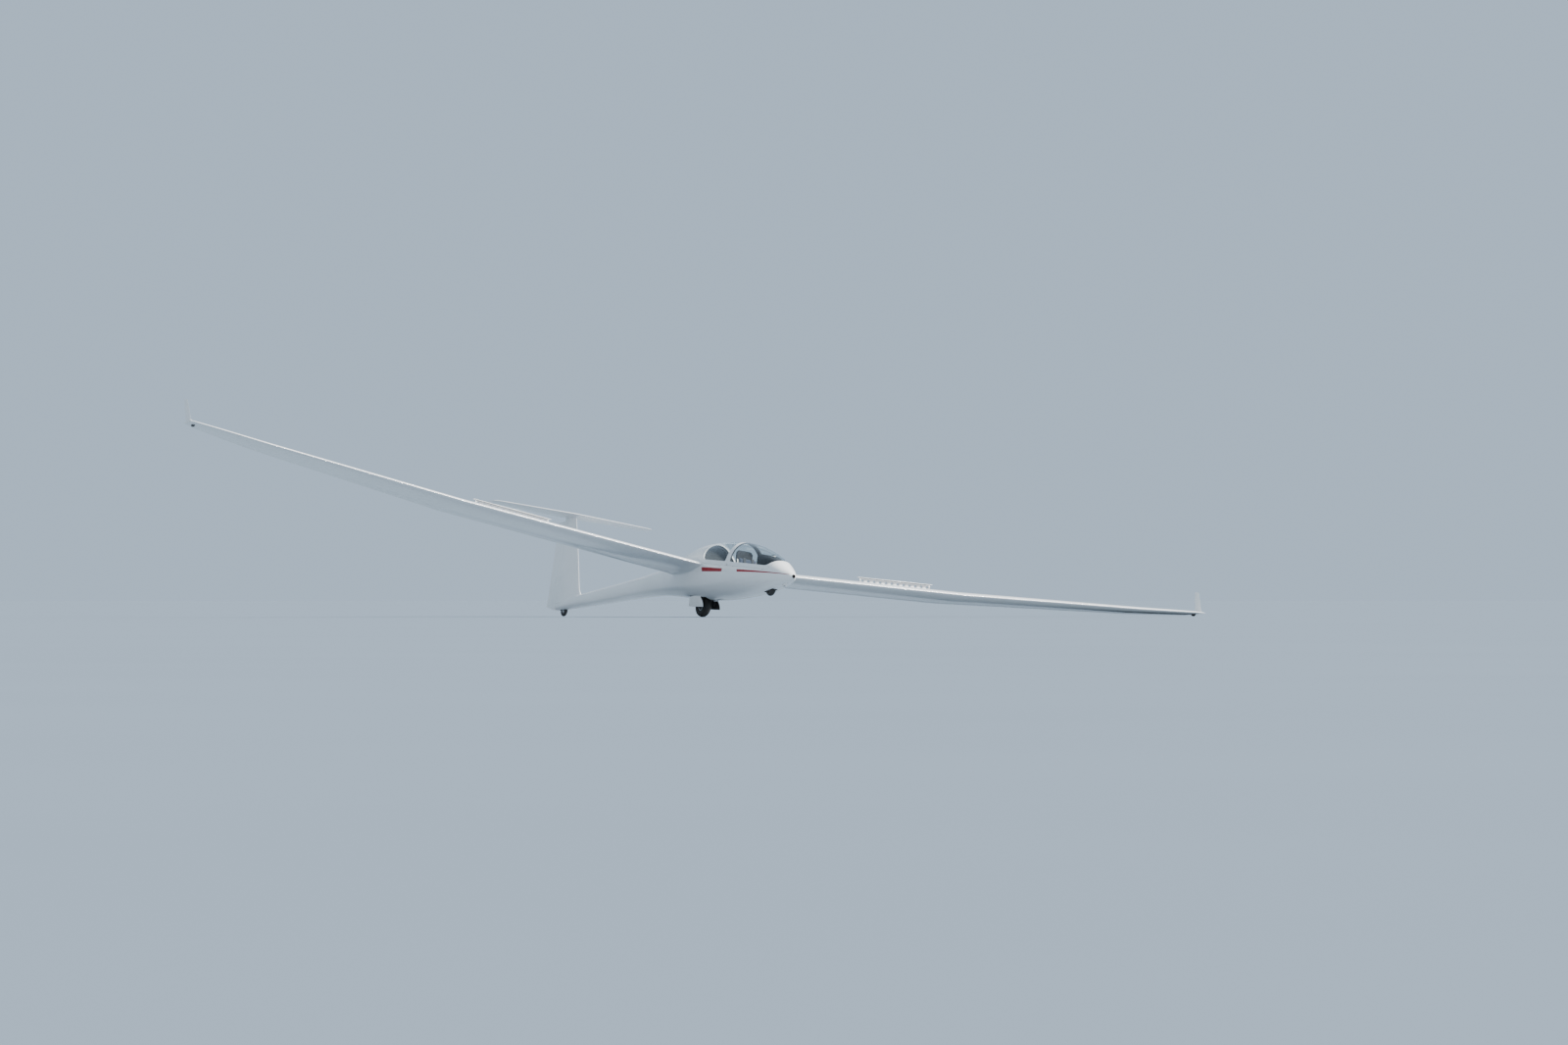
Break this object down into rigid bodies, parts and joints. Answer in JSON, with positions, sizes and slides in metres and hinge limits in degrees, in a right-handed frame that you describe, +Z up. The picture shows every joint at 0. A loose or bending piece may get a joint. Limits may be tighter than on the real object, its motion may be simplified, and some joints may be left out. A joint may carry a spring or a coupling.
{
  "type": "two-seat sailplane",
  "caption": "T-tailed glass-fibre sailplane with tandem seats under hinged canopies, long wings with winglets and airbrakes out, parked on its wheel with one wing tip down.",
  "frame": {"origin": "on the ground, under the middle of the parked aircraft's box", "axes": "+X towards the nose, +Y towards the port wing tip, +Z up; the aircraft itself is nose-up 4.5 degrees and banked 9.1 degrees to port, as it rests"},
  "size_m": [8.6244, 19.7816, 3.59],
  "materials": {
    "gelcoat": "polished white gelcoat over glass-fibre laminate, with a dark red stripe on each side of the fuselage",
    "canopy_acrylic": "clear blown acrylic",
    "tyre_rubber": "ribbed black rubber",
    "wheel_metal": "cast and machined rims",
    "axle_steel": "turned steel",
    "gear_steel": "grey painted steel tube and plate",
    "brake_alloy": "grey anodised sheet",
    "dark_trim": "matt black",
    "seat_shell": "light grey glass-fibre",
    "seat_cloth": "blue-grey woven cover",
    "skid_plastic": "scuffed dark plastic"
  },
  "bodies": {
    "airframe": {"fuselage_pod": "gelcoat", "tail_boom": "gelcoat", "fin": "gelcoat", "tailplane": "gelcoat", "wing_port": "gelcoat", "wing_tip_port": "gelcoat", "winglet_port": "gelcoat", "main_gear_door_port": "gelcoat", "wing_starboard": "gelcoat", "wing_tip_starboard": "gelcoat", "winglet_starboard": "gelcoat", "main_gear_door_starboard": "gelcoat", "main_axle": "axle_steel", "nose_axle": "axle_steel", "tail_axle": "axle_steel", "nose_tow_hook": "axle_steel", "belly_tow_hook": "axle_steel", "main_gear_fork": "gear_steel", "front_rudder_pedals": "gear_steel", "variometer_probe": "gear_steel", "nose_air_intake": "dark_trim", "front_instrument_pod": "dark_trim", "rear_instrument_panel": "dark_trim", "front_stick": "dark_trim", "rear_stick": "dark_trim", "front_seat_shell": "seat_shell", "rear_seat_shell": "seat_shell", "nose_wheel_box": "seat_shell", "front_seat_cushion": "seat_cloth", "front_back_cushion": "seat_cloth", "rear_seat_cushion": "seat_cloth", "rear_back_cushion": "seat_cloth", "tip_skid_port": "skid_plastic", "tip_skid_starboard": "skid_plastic"},
    "front_canopy": {"front_canopy_frame": "gelcoat", "front_canopy_glass": "canopy_acrylic"},
    "rear_canopy": {"rear_canopy_frame": "gelcoat", "rear_canopy_glass": "canopy_acrylic"},
    "main_wheel": {"main_tyre": "tyre_rubber", "main_rim": "wheel_metal"},
    "nose_wheel": {"nose_tyre": "tyre_rubber", "nose_rim": "wheel_metal"},
    "tail_wheel": {"tail_tyre": "tyre_rubber", "tail_rim": "wheel_metal"},
    "rudder": {"rudder": "gelcoat"},
    "elevator": {"elevator": "gelcoat"},
    "aileron_port": {"aileron_port": "gelcoat"},
    "aileron_starboard": {"aileron_starboard": "gelcoat"},
    "airbrake_port": {"airbrake_cap_port": "gelcoat", "airbrake_blade_port": "brake_alloy"},
    "airbrake_starboard": {"airbrake_cap_starboard": "gelcoat", "airbrake_blade_starboard": "brake_alloy"}
  },
  "joints": [
    {"name": "main_wheel_spin", "type": "hinge", "parent": "airframe", "child": "main_wheel", "pos_m": [1.3584, -0.25539, 0.18702], "axis": [0, 0.9874, -0.1584], "continuous": true},
    {"name": "nose_wheel_spin", "type": "hinge", "parent": "airframe", "child": "nose_wheel", "pos_m": [3.59868, -0.20777, 0.48374], "axis": [0, 0.9874, -0.1584], "continuous": true},
    {"name": "tail_wheel_spin", "type": "hinge", "parent": "airframe", "child": "tail_wheel", "pos_m": [-3.63306, -0.2696, 0.09843], "axis": [0, 0.9874, -0.1584], "continuous": true},
    {"name": "rudder_hinge", "type": "hinge", "parent": "airframe", "child": "rudder", "pos_m": [-3.96624, -0.26933, 0.10015], "axis": [-0.0303, 0.1584, 0.9869], "range_deg": [-30, 30]},
    {"name": "elevator_hinge", "type": "hinge", "parent": "airframe", "child": "elevator", "pos_m": [-4.0018, -0.00308, 1.75935], "axis": [0, 0.9874, -0.1584], "range_deg": [-20, 25]},
    {"name": "aileron_port_hinge", "type": "hinge", "parent": "airframe", "child": "aileron_port", "pos_m": [0.97727, 6.71503, 0.17043], "axis": [0.0308, 0.9981, -0.054], "range_deg": [-20, 20]},
    {"name": "aileron_starboard_hinge", "type": "hinge", "parent": "airframe", "child": "aileron_starboard", "pos_m": [0.97727, -6.88103, 2.35216], "axis": [-0.0308, 0.9648, -0.261], "range_deg": [-20, 20]},
    {"name": "airbrake_port_slide", "type": "slide", "parent": "airframe", "child": "airbrake_port", "axis": [-0.0786, 0.0881, 0.993], "range_m": [-0.12, 0]},
    {"name": "airbrake_starboard_slide", "type": "slide", "parent": "airframe", "child": "airbrake_starboard", "axis": [-0.0786, 0.227, 0.9707], "range_m": [-0.12, 0]},
    {"name": "front_canopy_hinge", "type": "hinge", "parent": "airframe", "child": "front_canopy", "pos_m": [3.16689, -0.51389, 0.92397], "axis": [0.9969, 0.0125, 0.0778], "range_deg": [0, 80]},
    {"name": "rear_canopy_hinge", "type": "hinge", "parent": "airframe", "child": "rear_canopy", "pos_m": [2.15976, -0.51177, 0.97505], "axis": [0.9969, 0.0125, 0.0778], "range_deg": [0, 80]}
  ],
  "couplings": [
    {"joint": "aileron_starboard_hinge", "follows": "aileron_port_hinge", "ratio": -1},
    {"joint": "airbrake_starboard_slide", "follows": "airbrake_port_slide", "ratio": 1}
  ]
}
